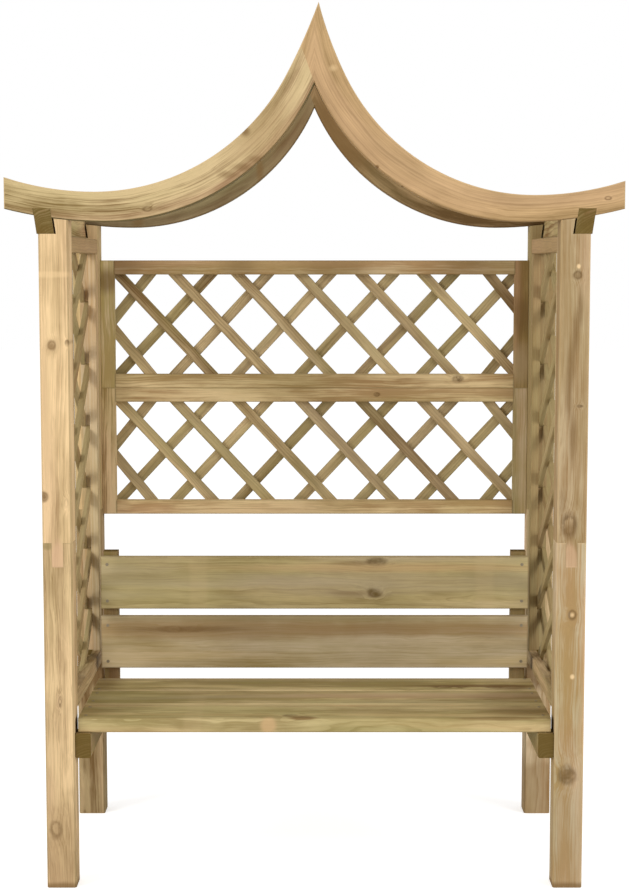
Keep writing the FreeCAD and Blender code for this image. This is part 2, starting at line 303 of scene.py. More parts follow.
def new_group(name, inputs):
    """The tree helper of a new node group, and the sockets that its inputs come in by."""
    group = bpy.data.node_groups.new(name, "ShaderNodeTree")
    for label, default in inputs.items():
        if isinstance(default, float):
            kind = SOCKETS["VALUE"]
        else:
            kind = SOCKETS["RGBA" if len(default) == 4 else "VECTOR"]
        group.interface.new_socket(label, in_out="INPUT", socket_type=kind).default_value = default
    tree = Tree(group)
    return tree, tree.node("NodeGroupInput").outputs


def knot_group():
    """A knot that runs through a board: its core, its dark rim and how it bends the rings."""
    tree, given = new_group("knot", {
        "Place": ORIGIN, "Centre": ORIGIN, "Stretch": ORIGIN,
        "Push": 0.008, "Heart": 1.0, "Core so far": 0.0, "Rim so far": 0.0, "Push so far": 0.0})
    ragged = tree.noise(given["Place"], 60.0, 60.0, 3.0)
    mottled = tree.noise(given["Place"], 140.0, 140.0, 3.0)
    distance = tree.math("ADD", tree.spread(given), tree.swing(ragged, 1.1))
    core = tree.times(tree.fall(distance, 0.4, 1.1), given["Heart"])
    core = tree.times(core, tree.ramp(mottled, 0.3, 0.7, 0.45, 1.15))
    rim = tree.times(tree.ramp(distance, 0.5, 0.95), tree.fall(distance, 0.95, 1.7))
    rim = tree.times(rim, tree.ramp(ragged, 0.3, 0.6, 0.35, 1.0))
    swell = tree.math("POWER", 2.0, tree.times(tree.math("POWER", distance, 2.0), -0.35))
    return tree.give(Core=tree.math("MAXIMUM", core, given["Core so far"]),
                     Rim=tree.math("MAXIMUM", rim, given["Rim so far"]),
                     Push=tree.scaled(swell, given["Push"], given["Push so far"]))


def arris_group():
    """How near a place is to an edge of its piece, from 0 away from it to 1 on it.

    The edges of the box count, and so do bevels, which face askew. On a piece that isn't straight,
    Turned makes only the way that a face looks along Y count, and Rims what is no longer a bevel.
    """
    tree, given = new_group("arris", {
        "Place": ORIGIN, "Low": ORIGIN, "High": (1.0, 1.0, 1.0), "Width": 0.003,
        "Turned": 0.0, "Rims": -1.0})
    from_low = tree.vector("SUBTRACT", given["Place"], given["Low"])
    from_high = tree.vector("SUBTRACT", given["High"], given["Place"])
    axes = tree.parts(tree.vector("MINIMUM", from_low, from_high))
    small = tree.math("MINIMUM", axes[0], axes[1])
    large = tree.math("MAXIMUM", axes[0], axes[1])
    second = tree.math("MAXIMUM", small, tree.math("MINIMUM", large, axes[2]))
    wear_and_painted_light = tree.noise(given["Place"], 35.0, 35.0, 3.0)
    reach = tree.times(given["Width"], tree.scaled(wear_and_painted_light, 1.4, 0.3))
    straight = tree.fall(tree.math("DIVIDE", second, reach), 0.2, 1.0)
    straight = tree.times(straight, tree.math("SUBTRACT", 1.0, given["Turned"]))
    normal = tree.node("ShaderNodeNewGeometry").outputs["Normal"]
    looks = tree.parts(tree.vector("ABSOLUTE", normal))
    square = tree.math("MAXIMUM", tree.math("MAXIMUM", looks[0], looks[2]), looks[1])
    askew = tree.pick(given["Turned"], square, looks[1])
    above = tree.math("ADD", given["Rims"], 0.2)
    bevel = tree.times(tree.fall(askew, 0.85, 0.97), tree.ramp(askew, given["Rims"], above))
    return tree.give(Edge=tree.math("MAXIMUM", straight, bevel))


def patch_group():
    """A soft-edged patch of another tone, laid over a colour."""
    tree, given = new_group("patch", {
        "Place": ORIGIN, "Centre": ORIGIN, "Stretch": ORIGIN,
        "Softness": 0.5, "Strength": 0.5, "Under": WHITE, "Tone": WHITE})
    cloud = tree.noise(given["Place"], 22.0, 22.0, 3.0)
    distance = tree.math("ADD", tree.spread(given), tree.swing(cloud, 0.5))
    inner = tree.math("SUBTRACT", 1.0, given["Softness"])
    outer = tree.math("ADD", 1.0, given["Softness"])
    amount = tree.times(tree.fall(distance, inner, outer), given["Strength"])
    return tree.give(Colour=tree.mix(amount, given["Under"], given["Tone"]))


def bow_group():
    """Lays a curved half beam out straight: X along its curve, Z towards its top edge.

    Up to Middle it is an arc of Radius about a point at Height, and beyond it one of Tip radius.
    """
    tree, given = new_group("bow", {"Place": ORIGIN, "Middle": 0.5, "Height": 2.14, "Radius": 0.51,
                                    "Tip radius": 0.93})
    axes = tree.parts(given["Place"])
    reach = tree.math("SUBTRACT", tree.math("ABSOLUTE", axes[0]), given["Middle"])
    drop = tree.math("SUBTRACT", given["Height"], axes[2])
    spoke = tree.vector("LENGTH", tree.joined(reach, drop, 0.0))
    inner_height = tree.math("SUBTRACT", given["Radius"], spoke)
    inner_reach = tree.times(tree.math("ARCTAN2", reach, drop), given["Radius"])
    rise = tree.math("DIVIDE", tree.times(reach, reach), given["Tip radius"])
    outer_height = tree.math("SUBTRACT", given["Radius"], tree.scaled(rise, 0.5, drop))
    inside = tree.math("LESS_THAN", reach, 0.0)
    along = tree.pick(inside, reach, inner_reach)
    height = tree.pick(inside, outer_height, inner_height)
    return tree.give(Place=tree.joined(along, axes[1], height))


def strips_group():
    """Tells the laths of one layer apart: each gets grain of its own and a tone from 0 to 1."""
    tree, given = new_group("strips", {"Place": ORIGIN, "Pitch": 0.12, "Shift": 0.0})
    axes = tree.parts(given["Place"])
    counted = tree.math("ADD", tree.math("DIVIDE", axes[2], given["Pitch"]), given["Shift"])
    lath = tree.math("FLOOR", counted)
    middle = tree.math("SUBTRACT", tree.math("FRACT", counted), 0.5)
    across = tree.times(given["Pitch"], middle)
    along = tree.scaled(lath, LATH_STEP, axes[0])
    return tree.give(Place=tree.joined(along, axes[1], across), Tone=tree.chance(lath))


def timber_group():
    """Planed softwood. Place has X along the grain, and the heart of the tree lies on that axis."""
    tree, given = new_group("timber", {
        "Place": ORIGIN, "Seed": ORIGIN, "Ring spacing": 0.006, "Wander": 0.04,
        "Contrast": 0.5, "Figure": 0.5, "Shade": 0.35, "Lift": 1.0, "Knot core": 0.0,
        "Knot rim": 0.0, "Knot push": 0.0, "End": 0.0, "Edge": 0.0, "Pale": WHITE, "Dark": WHITE,
        "Blush": WHITE, "Blush amount": 0.3, "Tint": WHITE, "Tint amount": 0.3,
        "Knot": (0.2, 0.1, 0.05, 1.0), "End tone": (0.2, 0.15, 0.05, 1.0), "Edge tone": WHITE,
        "Edge amount": 0.4, "Base roughness": 0.65})

    # The grain drifts far and slowly, and ripples a little, around knots too
    place = tree.vector("ADD", given["Place"], given["Seed"])
    drift = tree.noise(place, 1.1, 5.0, 2.0, "Color")
    drift = tree.vector("SUBTRACT", drift, (0.5, 0.5, 0.5))
    drift = tree.vector("MULTIPLY", drift, tree.joined(0.0, given["Wander"], given["Wander"]))
    ripple = tree.swing(tree.noise(place, 7.0, 24.0), 0.3)
    ripple = tree.scaled(ripple, given["Wander"], given["Knot push"])
    sway = tree.joined(0.0, ripple, ripple)
    place = tree.vector("ADD", tree.vector("ADD", place, drift), sway)

    # Rings of uneven width around the heart, each with late wood of a strength of its own
    across = tree.vector("MULTIPLY", given["Place"], (0.0, 1.0, 1.0))
    heart = tree.vector("LENGTH", tree.vector("ADD", across, drift))
    rings = tree.math("DIVIDE", tree.math("ADD", heart, ripple), given["Ring spacing"])
    rings = tree.scaled(tree.noise_over(rings, 0.35, 1.0), 3.0, rings)
    part = tree.math("FRACT", rings)
    late = tree.times(tree.ramp(part, 0.35, 0.9), tree.fall(part, 0.93, 1.0))
    year = tree.chance(tree.math("FLOOR", rings))
    late = tree.times(late, tree.scaled(year, 0.9, 0.1))
    late = tree.times(late, given["Contrast"])

    # Figure, from broad zones down to single lines, weighed so that the sum swings about 0
    zone = tree.noise_over(rings, 0.16, 2.0)
    broad = tree.noise(place, 1.6, 16.0)
    blotches = tree.noise(place, 9.0, 30.0, 4.0)
    streaks = tree.noise(place, 3.5, 85.0, 3.0)
    lines = tree.noise(place, 8.0, 300.0, 3.0)
    fibre = tree.noise(place, 20.0, 620.0)
    figured = tree.scaled(zone, 1.7, -3.8)
    for noise, weight in ((broad, 2.5), (blotches, 1.4), (streaks, 0.9), (lines, 1.1)):
        figured = tree.scaled(noise, weight, figured)
    shade = tree.scaled(figured, given["Figure"], given["Shade"])
    shade = tree.scaled(late, 0.8, shade, clamp=True)

    # Colour: the two tones of the wood, then its tints, knots, edges and end grain
    shown = tree.mix(shade, given["Pale"], given["Dark"])
    blushed = tree.ramp(tree.noise(place, 0.9, 17.0), 0.42, 0.66)
    shown = tree.mix(tree.times(blushed, given["Blush amount"]), shown, given["Blush"])
    greened = tree.ramp(tree.noise(place, 2.2, 11.0), 0.38, 0.66)
    shown = tree.mix(tree.times(greened, given["Tint amount"]), shown, given["Tint"])
    lift = tree.times(tree.scaled(fibre, 0.24, 0.88), given["Lift"])
    shown = tree.mix(1.0, shown, tree.joined(lift, lift, lift), "MULTIPLY")
    shown = tree.mix(tree.times(given["Knot rim"], 0.6), shown, given["Knot"])
    shown = tree.mix(tree.times(given["Knot core"], 0.9), shown, given["Knot"])
    # Arris tone: wear; on the backrest boards painted shade, on two seat boards a painted highlight
    wear_and_painted_light = tree.times(given["Edge"], given["Edge amount"])
    shown = tree.mix(wear_and_painted_light, shown, given["Edge tone"])
    end_shade = tree.scaled(late, -0.5, 0.95)
    shown = tree.mix(given["End"], shown, tree.mix(end_shade, shown, given["End tone"]))

    # Late wood is smoother and stands out, and end grain is rougher
    rough = tree.scaled(fibre, ROUGHNESS_SWING, given["Base roughness"])
    rough = tree.scaled(given["End"], 0.12, tree.scaled(late, -0.1, rough), clamp=True)
    height = tree.scaled(streaks, 0.25, tree.scaled(late, 0.5, tree.times(fibre, 0.35)))
    height = tree.scaled(given["Knot core"], 0.5, height)
    return tree.give(Colour=shown, Roughness=rough, Height=height)


def zinc_group():
    """Dull zinc with a cloudy shine."""
    tree, given = new_group("zinc", {"Place": ORIGIN})
    cloud = tree.noise(given["Place"], ZINC_CLOUDS, ZINC_CLOUDS, 3.0)
    return tree.give(Colour=tree.mix(cloud, ZINC_DARK, ZINC_PALE),
                     Roughness=tree.scaled(cloud, 0.3, 0.3))


GROUPS = {"knot": knot_group, "arris": arris_group, "patch": patch_group, "bow": bow_group,
          "strips": strips_group, "timber": timber_group, "zinc": zinc_group}


# Timber materials

def tone(name):
    """One of the timber colours, with full alpha."""
    return (*getattr(bpy.context.scene.arbour_colours, name), 1.0)


def timber_material(node, grain, seed, pale, dark, heart=(0.03, 0.05), shade=0.35, lift=1.0,
                    contrast=0.5, figure=1.0, wander=1.0, blush="rose", blush_amount=0.25,
                    green=0.2, edge="moss", edge_amount=0.4, knots=(), patches=(), bow=False,
                    strips=None, under=None):
    """A material of its own for one piece of timber.

    grain turns the axis along which the piece was cut onto X. heart is where the heart of the tree
    lies, across the grain, from the middle of the piece. shade is how much of the dark tone there
    is, contrast how clearly the late wood shows, figure how strong the streaks are, and lift makes
    all of it lighter. blush and green are tints in soft patches. edge is the tone of the arrises:
    wear, with painted shade on the backrest boards and a painted highlight on the middle and rear
    seat boards. knots are made by knot or upright_knot. A patch is its centre, its radii, its tone,
    its strength and its softness. bow is for the curved half beams. strips is the pitch and the
    shift of laths that lie side by side. under is the tone and amount of painted shade on faces
    that look down.
    """
    sizes = bpy.context.scene.arbour_grain
    low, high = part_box(node)
    turn = Euler(grain)
    matrix = turn.to_matrix()
    along = matrix.inverted() @ Vector((1.0, 0.0, 0.0))
    material = bpy.data.materials.new(node + "_timber")
    tree = cleared(material)
    place = tree.node("ShaderNodeTexCoord").outputs["Object"]
    if bow:
        local = tree.group("bow", place=place)["Place"]
    else:
        middle = matrix @ ((low + high) / 2)
        local = tree.node("ShaderNodeMapping", {"Vector": place, "Location": -middle,
                                                "Rotation": turn}).outputs[0]
    if strips:
        parted = tree.group("strips", place=local, pitch=strips[0], shift=strips[1])
        local = parted["Place"]
        shade = tree.scaled(parted["Tone"], LATH_SWING, shade - LATH_SWING / 2)
    local = tree.vector("ADD", local, (0.0, *heart))

    core, rim, push = 0.0, 0.0, 0.0
    for centre, stretch, strength, darkness in knots:
        made = tree.group("knot", place=place, centre=centre, stretch=stretch, push=strength,
                          heart=darkness, core_so_far=core, rim_so_far=rim, push_so_far=push)
        core, rim, push = made["Core"], made["Rim"], made["Push"]

    wear_and_painted_light = tree.group("arris", place=place, low=low, high=high, width=sizes.arris_width,
                      turned=1.0 if bow else 0.0, rims=0.3 if bow else -1.0)
    normal = tree.node("ShaderNodeNewGeometry").outputs["Normal"]
    facing = tree.math("ABSOLUTE", tree.vector("DOT_PRODUCT", normal, along))
    wood = tree.group(
        "timber", place=local, seed=[seed * step for step in SEED_STEP],
        ring_spacing=sizes.ring_spacing, wander=sizes.wander * wander, contrast=contrast,
        figure=figure, shade=shade, lift=lift, knot_core=core, knot_rim=rim, knot_push=push,
        end=tree.ramp(facing, 0.6, 0.9), edge=wear_and_painted_light["Edge"], pale=tone(pale), dark=tone(dark),
        blush=tone(blush), blush_amount=blush_amount, tint=tone("green"), tint_amount=green,
        knot=tone("knot"), end_tone=tone("olive"), edge_tone=tone(edge), edge_amount=edge_amount,
        base_roughness=sizes.roughness - ROUGHNESS_SWING / 2)

    shown = wood["Colour"]
    # Painted shade on the faces that look down, in the tone and amount that under gives
    if under:
        shade_tone, amount = under
        down = tree.ramp(tree.vector("DOT_PRODUCT", normal, (0.0, 0.0, -1.0)), 0.05, 0.3)
        shown = tree.mix(tree.times(down, amount), shown, tone(shade_tone))
    for centre, radii, patch_tone, strength, softness in patches:
        stretch = [1.0 / radius for radius in radii]
        shown = tree.group("patch", place=place, centre=centre, stretch=stretch, softness=softness,
                           strength=strength, under=shown, tone=tone(patch_tone))["Colour"]
    bump = tree.node("ShaderNodeBump", {"Distance": sizes.relief, "Height": wood["Height"],
                                        "Strength": RELIEF_STRENGTH})
    surface = tree.node("ShaderNodeBsdfPrincipled", {
        "Base Color": shown, "Roughness": wood["Roughness"], "Normal": bump.outputs[0],
        "Specular IOR Level": SHINE})
    tree.node("ShaderNodeOutputMaterial", {0: surface.outputs[0]})
    return material


def dress(node, **look):
    """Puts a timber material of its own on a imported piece."""
    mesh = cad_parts[node].data
    mesh.materials.clear()
    mesh.materials.append(timber_material(node, **look))


# Knots and patches of single pieces

def knot(x, z, half_length, half_height, push, darkness):
    """A knot through a piece along Y, with its push on the rings and how dark its heart is."""
    return (x, 0.0, z), (1.0 / half_length, 0.0, 1.0 / half_height), push, darkness


def upright_knot(x, y, half_length, half_width, push, darkness):
    """The same, but through a piece along Z."""
    return (x, y, 0.0), (1.0 / half_length, 1.0 / half_width, 0.0), push, darkness


def mark(x, z, half_length, half_height, tone_name, strength, softness=0.8):
    """A patch right through a piece along Y."""
    return (x, 0.0, z), (half_length, 100.0, half_height), tone_name, strength, softness


def band(x, half_width, tone_name, strength, softness):
    """A patch right across a board, where a batten lay on it in the stack."""
    return (x, 0.0, 0.0), (half_width, 100.0, 100.0), tone_name, strength, softness


# Looks of the pieces, as timber_material takes them

POSTS = dict(
    front_left_upper=dict(
        seed=2, pale="honey", dark="fawn", shade=0.12, lift=0.97, contrast=0.35, figure=0.72,
        blush_amount=0.3, green=0.08, edge_amount=0.35, heart=(0.028, 0.052),
        knots=[
            knot(-0.614, 1.304, 0.008, 0.009, 0.008, 0.25),
            knot(-0.578, 1.309, 0.004, 0.006, 0.006, 0.3),
            knot(-0.638, 0.947, 0.008, 0.01, 0.01, 0.6),
            knot(-0.585, 0.932, 0.004, 0.009, 0.014, 0.0)],
        patches=[
            mark(-0.61, 1.468, 0.06, 0.007, "honey", 0.4, 0.5),
            mark(-0.615, 1.301, 0.008, 0.008, "umber", 0.7, 0.9),
            mark(-0.577, 1.311, 0.004, 0.005, "umber", 0.6),
            mark(-0.616, 1.298, 0.012, 0.018, "fawn", 0.45, 0.9),
            mark(-0.63, 1.15, 0.01, 0.16, "fawn", 0.25),
            mark(-0.636, 0.948, 0.008, 0.01, "umber", 0.6),
            mark(-0.6055, 0.795, 0.016, 0.045, "rose", 0.6, 0.3),
            mark(-0.585, 0.926, 0.006, 0.022, "honey", 0.7, 0.7)]),
    front_left_lower=dict(
        seed=3, pale="honey", dark="fawn", shade=0.3, lift=0.89, figure=0.8, wander=1.5,
        blush_amount=0.35, green=0.14, edge_amount=0.35, heart=(0.022, -0.04),
        knots=[
            knot(-0.62, 0.143, 0.012, 0.018, 0.01, 0.12),
            knot(-0.606, 0.455, 0.003, 0.01, 0.02, 0.0)],
        patches=[
            mark(-0.63, 0.83, 0.012, 0.009, "moss", 0.7, 0.5),
            mark(-0.62, 0.12, 0.02, 0.1, "fawn", 0.4, 0.9),
            mark(-0.61, 0.0, 0.08, 0.012, "umber", 0.7, 0.5)]),
    front_right_upper=dict(
        seed=5, pale="stone", dark="fawn", lift=0.95, contrast=0.7, blush_amount=0.5, edge="honey",
        edge_amount=0.25, heart=(0.03, -0.045),
        knots=[
            knot(0.613, 1.467, 0.009, 0.008, 0.008, 0.35),
            knot(0.622, 1.161, 0.006, 0.003, 0.008, 1.0),
            knot(0.601, 0.882, 0.015, 0.021, 0.012, 0.1)],
        patches=[
            mark(0.62, 1.39, 0.006, 0.04, "umber", 0.6),
            mark(0.61, 1.33, 0.007, 0.045, "umber", 0.6),
            mark(0.599, 1.26, 0.009, 0.05, "umber", 0.6),
            mark(0.596, 1.18, 0.007, 0.05, "umber", 0.6),
            mark(0.606, 1.09, 0.008, 0.06, "umber", 0.6),
            mark(0.636, 1.15, 0.006, 0.3, "fawn", 0.4, 0.7),
            mark(0.585, 0.93, 0.008, 0.03, "umber", 0.4),
            mark(0.587, 1.45, 0.013, 0.12, "fawn", 0.45),
            mark(0.613, 1.465, 0.008, 0.008, "umber", 0.45),
            mark(0.604, 0.795, 0.016, 0.045, "rose", 0.55, 0.3),
            mark(0.615, 1.487, 0.004, 0.005, "honey", 0.9, 0.5),
            mark(0.601, 0.862, 0.016, 0.02, "umber", 0.5, 0.5)]),
    front_right_lower=dict(
        seed=6, pale="silver", dark="fawn", lift=1.21, contrast=0.8, wander=1.5, blush_amount=0.3,
        edge="honey", edge_amount=0.2, heart=(0.026, 0.05),
        knots=[
            knot(0.604, 0.277, 0.018, 0.019, 0.014, 0.65),
            knot(0.611, 0.665, 0.008, 0.01, 0.012, 0.0)],
        patches=[
            mark(0.611, 0.665, 0.004, 0.004, "honey", 0.6, 0.6),
            mark(0.605, 0.279, 0.013, 0.014, "umber", 0.65, 0.3),
            mark(0.595, 0.266, 0.008, 0.008, "knot", 0.45, 0.7),
            mark(0.613, 0.516, 0.005, 0.006, "honey", 0.9, 0.5),
            mark(0.6, 0.12, 0.1, 0.14, "moss", 0.35),
            mark(0.61, 0.0, 0.08, 0.012, "umber", 0.7, 0.5)]),
    rear_left_upper=dict(
        seed=8, pale="sand", dark="umber", shade=0.28, lift=1.3, contrast=0.4, figure=0.45,
        heart=(-0.03, 0.05)),
    rear_left_lower=dict(
        seed=9, pale="sand", dark="umber", shade=0.5, contrast=0.6, figure=0.7, green=0.25,
        heart=(-0.03, -0.02),
        # painted shade on the front face of the rear post, beside the seat's end
        patches=[((-0.6, 0.285, 0.4), (0.2, 0.03, 0.05), "umber", 0.75, 0.4)]),
    rear_right_upper=dict(
        seed=11, pale="straw", dark="fawn", lift=0.98, contrast=0.4, figure=0.45,
        heart=(-0.03, 0.05)),
    rear_right_lower=dict(
        seed=12, pale="silver", dark="umber", shade=0.3, lift=1.8, contrast=0.6, figure=0.7,
        heart=(-0.03, -0.03),
        patches=[
            # painted shade on the front face of the rear post, beside the seat's end
            ((0.6, 0.285, 0.4), (0.2, 0.03, 0.05), "umber", 0.75, 0.4),
            mark(0.6, 0.06, 0.2, 0.09, "fawn", 0.6, 0.3)]))

BEAM_HEART = (0.36, 0.09)
BEAMS = dict(
    front_left=dict(
        seed=21, pale="sand", dark="umber", shade=0.22, lift=1.04, contrast=0.6, figure=1.15,
        # under: painted shade on the faces that look down
        blush_amount=0.5, edge="honey", under=("underside_shade", 1.0),
        knots=[knot(-0.388, 1.619, 0.009, 0.005, 0.006, 0.15)],
        patches=[
            # painted shade in the crotch below the apex
            ((-0.03, -0.305, 1.83), (0.06, 0.035, 0.09), "umber", 0.5, 0.3),
            mark(-0.481, 1.615, 0.04, 0.003, "umber", 0.6, 0.5),
            mark(-0.372, 1.62, 0.032, 0.005, "umber", 0.45),
            mark(-0.12, 1.8, 0.08, 0.08, "fawn", 0.45),
            mark(-0.16, 1.797, 0.01, 0.01, "umber", 0.75),
            mark(-0.2, 1.698, 0.02, 0.007, "umber", 0.5),
            mark(-0.165, 1.715, 0.022, 0.008, "umber", 0.5),
            mark(-0.13, 1.733, 0.02, 0.008, "umber", 0.55)]),
    front_right=dict(
        seed=22, pale="apricot", dark="fawn", contrast=0.6, figure=0.85, green=0.08, edge="honey",
        # under: painted shade on the faces that look down
        under=("fawn", 0.9),
        knots=[knot(0.681, 1.644, 0.007, 0.004, 0.004, 0.2)],
        patches=[
            # painted shade in the crotch below the apex
            ((0.03, -0.305, 1.83), (0.06, 0.035, 0.09), "umber", 0.65, 0.3),
            mark(0.043, 1.941, 0.008, 0.006, "honey", 0.4),
            mark(0.145, 1.716, 0.004, 0.004, "umber", 0.9, 0.5),
            mark(0.203, 1.67, 0.003, 0.003, "umber", 0.9, 0.5)]),
    # Rear half beams: darker boards, and partly painted shade from the front half beams
    rear_left=dict(
        seed=23, pale="straw", dark="umber", shade=0.5, lift=0.54, edge="umber",
        patches=[
            # painted shade in the crotch
            mark(-0.05, 1.82, 0.09, 0.16, "umber", 0.3, 0.6),
            mark(-0.145, 1.74, 0.008, 0.03, "umber", 0.7),
            mark(-0.471, 1.603, 0.014, 0.014, "umber", 0.6)]),
    rear_right=dict(
        seed=24, pale="apricot", dark="umber", shade=0.5, lift=0.68, edge="umber",
        # painted shade in the crotch
        patches=[mark(0.05, 1.82, 0.09, 0.16, "umber", 0.85, 0.6)]))
PURLIN = dict(pale="straw", dark="umber", shade=0.38, lift=1.42, contrast=0.6, figure=0.8,
              green=0.3, heart=(0.04, 0.06))

FRAME_HEART = (0.03, 0.04)
BACK_FRAMES = dict(
    upper_left_stile=dict(
        pale="silver", dark="moss", shade=0.4, lift=1.8, figure=1.2,
        patches=[mark(-0.553, 1.45, 0.03, 0.03, "umber", 0.65, 0.6)]),
    upper_right_stile=dict(
        pale="fawn", dark="umber", shade=0.5, lift=1.35, figure=1.1,
        patches=[
            mark(0.553, 1.355, 0.03, 0.05, "umber", 0.55, 0.6),
            mark(0.553, 1.225, 0.03, 0.05, "stone", 0.5, 0.6)]),
    upper_top_rail=dict(
        pale="stone", dark="fawn", shade=0.38, lift=1.25, figure=1.3,
        patches=[
            mark(-0.53, 1.48, 0.07, 0.05, "umber", 0.5, 0.7),
            mark(-0.2, 1.48, 0.04, 0.05, "umber", 0.4),
            mark(0.06, 1.48, 0.08, 0.05, "umber", 0.35),
            mark(0.42, 1.48, 0.09, 0.05, "umber", 0.4)]),
    upper_bottom_rail=dict(
        pale="sand", dark="fawn", lift=1.14, figure=1.3,
        knots=[knot(0.385, 1.187, 0.012, 0.008, 0.006, 0.9)]),
    lower_left_stile=dict(pale="stone", dark="umber", lift=1.6, figure=1.2),
    lower_right_stile=dict(pale="silver", dark="moss", shade=0.45, lift=1.35, figure=1.1),
    lower_top_rail=dict(
        pale="sand", dark="fawn", lift=1.17, figure=1.3,
        knots=[knot(0.168, 1.145, 0.007, 0.005, 0.004, 0.8)]),
    lower_bottom_rail=dict(pale="sand", dark="fawn", lift=1.28, figure=1.3))
BACK_LATHS = dict(pale="sand", dark="umber", shade=0.32, lift=1.08, figure=0.6, blush="silver",
                  green=0.35, edge_amount=0.3)

SIDE_FRAMES = dict(
    front_stile=dict(pale="sand", dark="umber", figure=0.7, green=0.25),
    rear_stile=dict(dark="fawn", figure=0.5, green=0.15),
    bottom_rail=dict(pale="sand", dark="umber", figure=0.7, green=0.25),
    top_rail=dict(pale="apricot", dark="fawn", shade=0.3, lift=0.88, figure=0.35, green=0.15))
REAR_STILES = dict(
    left=dict(pale="silver", lift=1.5),
    right=dict(pale="straw", lift=0.95))
SIDE_LATHS = dict(pale="straw", dark="fawn", shade=0.4, lift=0.95, contrast=0.4, figure=0.5,
                  blush="sand", edge_amount=0.3)

BOARDS = dict(
    seat_board_front=dict(
        seed=81, pale="straw", dark="moss", lift=1.17, contrast=0.8, wander=1.4, blush="apricot",
        blush_amount=0.45, green=0.3, heart=(0.02, 0.03),
        knots=[upright_knot(-0.059, -0.315, 0.014, 0.009, 0.01, 0.6)],
        patches=[
            ((-0.11, -0.341, 0.396), (0.018, 0.02, 0.02), "apricot", 0.7, 0.4),
            ((-0.028, -0.341, 0.413), (0.032, 0.02, 0.005), "umber", 0.8, 0.4),
            ((0.45, -0.341, 0.413), (0.11, 0.01, 0.006), "umber", 0.6, 0.4),
            ((0.5, -0.27, 0.413), (0.09, 0.05, 0.02), "umber", 0.5, 0.7),
            band(-0.292, 0.021, "sand", 0.16, 0.35)]),
    seat_board_middle=dict(
        seed=82, pale="straw", dark="moss", shade=0.45, lift=1.25, contrast=0.8, wander=1.4,
        # edge: painted highlight along the board's rounded edges
        blush="silver", blush_amount=0.4, green=0.35, edge="sand", edge_amount=0.5,
        heart=(0.03, 0.02),
        patches=[
            ((0.5, -0.11, 0.413), (0.1, 0.05, 0.05), "umber", 0.55, 0.7),
            ((0.2, -0.1, 0.413), (0.3, 0.03, 0.05), "rose", 0.4, 0.7),
            band(-0.292, 0.021, "sand", 0.14, 0.35)]),
    seat_board_rear=dict(
        seed=83, pale="straw", dark="moss", shade=0.45, lift=1.32, contrast=0.9, figure=1.3,
        # edge: painted highlight along the board's rounded edges
        wander=1.4, blush="silver", blush_amount=0.4, green=0.4, edge="sand", edge_amount=0.5,
        heart=(-0.02, 0.02),
        knots=[
            upright_knot(0.33, 0.003, 0.02, 0.01, 0.016, 0.4),
            upright_knot(0.372, 0.006, 0.016, 0.012, 0.018, 0.5),
            upright_knot(0.46, 0.0, 0.018, 0.01, 0.012, 0.5)],
        patches=[
            ((0.41, 0.015, 0.413), (0.15, 0.014, 0.05), "umber", 0.85, 0.6),
            ((0.51, 0.0, 0.413), (0.05, 0.028, 0.05), "umber", 0.65, 0.6),
            ((-0.54, 0.04, 0.413), (0.04, 0.08, 0.05), "umber", 0.4, 0.7)]),
    backrest_board_lower=dict(
        seed=84, pale="silver", dark="moss", shade=0.2, lift=1.27, figure=0.6, blush="sand",
        # edge: painted shade along the board's edges, in the gaps beside it
        blush_amount=0.35, green=0.1, edge="umber", heart=(0.03, 0.0),
        knots=[
            knot(-0.375, 0.537, 0.03, 0.007, 0.012, 0.3),
            knot(-0.32, 0.537, 0.02, 0.006, 0.01, 0.3)],
        patches=[
            mark(-0.28, 0.537, 0.5, 0.026, "fawn", 0.6, 0.5),
            mark(0.35, 0.537, 0.4, 0.018, "fawn", 0.6, 0.6),
            mark(-0.33, 0.537, 0.13, 0.008, "umber", 0.6, 0.7),
            # painted shade along the top edge, in the gap below the upper board
            mark(-0.1, 0.565, 0.6, 0.008, "moss", 0.5, 0.6)]),
    backrest_board_upper=dict(
        seed=85, pale="straw", dark="moss", lift=1.22, contrast=0.6, figure=0.8, blush="silver",
        # edge: painted shade along the board's edges, in the gaps beside it
        blush_amount=0.65, green=0.28, edge="umber", heart=(0.03, 0.04),
        knots=[
            knot(0.164, 0.716, 0.02, 0.009, 0.014, 0.4),
            knot(0.158, 0.632, 0.015, 0.009, 0.014, 0.5)],
        patches=[
            mark(0.18, 0.7, 0.4, 0.01, "apricot", 0.5, 0.7),
            mark(0.148, 0.64, 0.009, 0.006, "olive", 0.6),
            mark(0.162, 0.63, 0.01, 0.006, "olive", 0.75),
            mark(0.16, 0.718, 0.024, 0.006, "olive", 0.5),
            mark(0.1, 0.633, 0.05, 0.006, "umber", 0.4),
            mark(0.11, 0.713, 0.05, 0.006, "umber", 0.45),
            band(-0.3055, 0.0235, "sand", 0.2, 0.35),
            band(0.4465, 0.0245, "sand", 0.2, 0.35)]))
BEARER = dict(pale="moss", dark="umber", shade=0.4, figure=0.8, green=0.3, edge="umber",
              heart=(0.02, 0.05))


# Steps

class ARBOUR_OT_posts(bpy.types.Operator):
    """Finishes the two halves of each post"""
    bl_idname = "arbour.posts"
    bl_label = "Finish Posts"

    def execute(self, context):
        for name, look in POSTS.items():
            dress("post_" + name, grain=ALONG_Z, **look)
        return {"FINISHED"}


class ARBOUR_OT_roof(bpy.types.Operator):
    """Finishes the half beams and the eaves purlins"""
    bl_idname = "arbour.roof"
    bl_label = "Finish Roof"

    def execute(self, context):
        for name, look in BEAMS.items():
            dress("arch_" + name, grain=ALONG_X, heart=BEAM_HEART, bow=True, **look)
        for side, sign in SIDES.items():
            dress("eaves_purlin_" + side, grain=ALONG_Y, seed=PURLIN_SEED + sign, **PURLIN)
        return {"FINISHED"}


